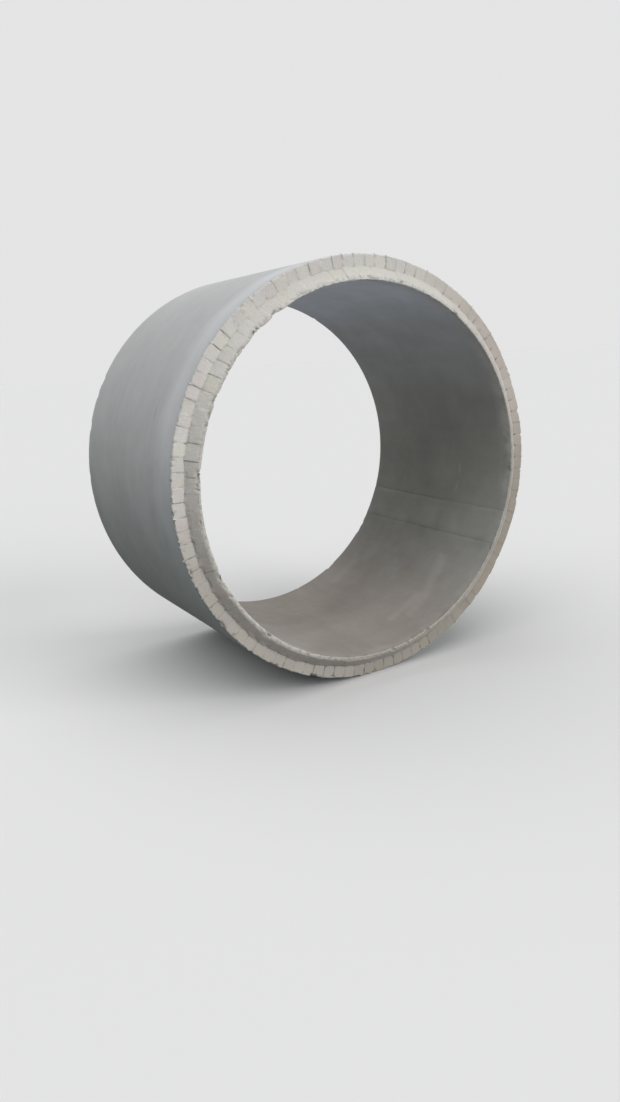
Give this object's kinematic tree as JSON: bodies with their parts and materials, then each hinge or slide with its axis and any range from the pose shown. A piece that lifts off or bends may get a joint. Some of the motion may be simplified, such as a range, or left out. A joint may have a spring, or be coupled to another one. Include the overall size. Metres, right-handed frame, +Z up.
{
  "type": "concrete sewer pipe",
  "caption": "Large precast concrete sewer pipe ring lying on its side, open right through, with a tapered tongue at one end and a matching groove at the other.",
  "frame": {"origin": "on the ground, under the middle of the pipe's length as it lies on its side", "axes": "+Z up; the pipe's axis runs along Y at the height of its outer radius, with the tongue end towards -Y and the groove end towards +Y; X is level, across the pipe"},
  "size_m": [1.6996, 1.035, 1.7],
  "materials": {
    "concrete": "cast concrete, matt, smooth off the mould, pitted and chipped at the ends"
  },
  "bodies": {
    "root": {"pipe": "concrete"}
  },
  "joints": []
}
